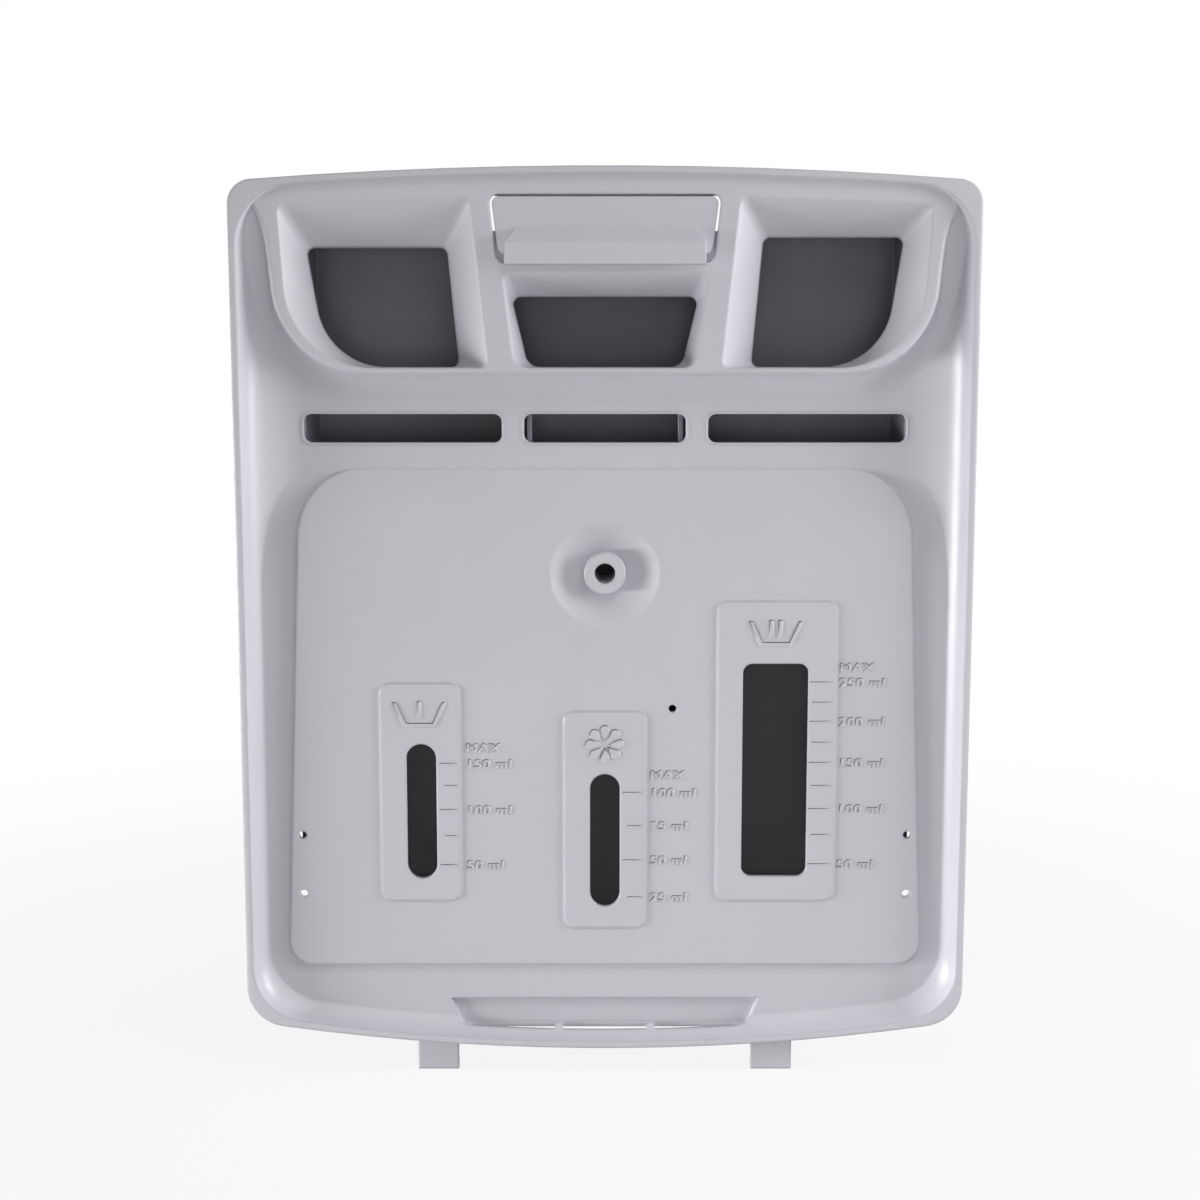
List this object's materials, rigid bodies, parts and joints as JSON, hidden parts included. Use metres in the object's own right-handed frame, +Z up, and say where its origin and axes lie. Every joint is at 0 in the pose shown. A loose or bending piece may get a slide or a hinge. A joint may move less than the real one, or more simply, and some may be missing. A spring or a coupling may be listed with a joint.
{
  "type": "lid-mounted detergent dispenser",
  "caption": "Flat dispenser for a top-loading washer's lid: pale panel with pouring inlets, outlet slots, level windows and a sprung release latch over a dark rear tray.",
  "frame": {"origin": "on the centre line, level with the hook tabs' tips, in the plane of the rim's front", "axes": "+X to the user's right, +Y from the face to the back, +Z up with the lid open"},
  "size_m": [0.302, 0.0439, 0.381],
  "materials": {
    "panel_plastic": "fine moulded satin",
    "tray_plastic": "moulded satin",
    "latch_plastic": "fine moulded satin",
    "spring_steel": "drawn wire",
    "clear_plastic": "clear, slightly smoked",
    "cap_plastic": "moulded satin"
  },
  "bodies": {
    "dispenser": {"front_panel": "panel_plastic", "rear_tray": "tray_plastic", "latch_spring": "spring_steel", "prewash_level_window": "clear_plastic", "softener_level_window": "clear_plastic", "main_wash_level_window": "clear_plastic", "siphon_cap": "cap_plastic"},
    "latch": {"release_latch": "latch_plastic"}
  },
  "joints": [
    {"name": "latch_slide", "type": "slide", "parent": "dispenser", "child": "latch", "axis": [0, 0, -1], "range_m": [0, 0.0026], "stiffness_N_per_m": 400, "springref_m": -0.006, "deforming": ["latch_spring"]}
  ]
}
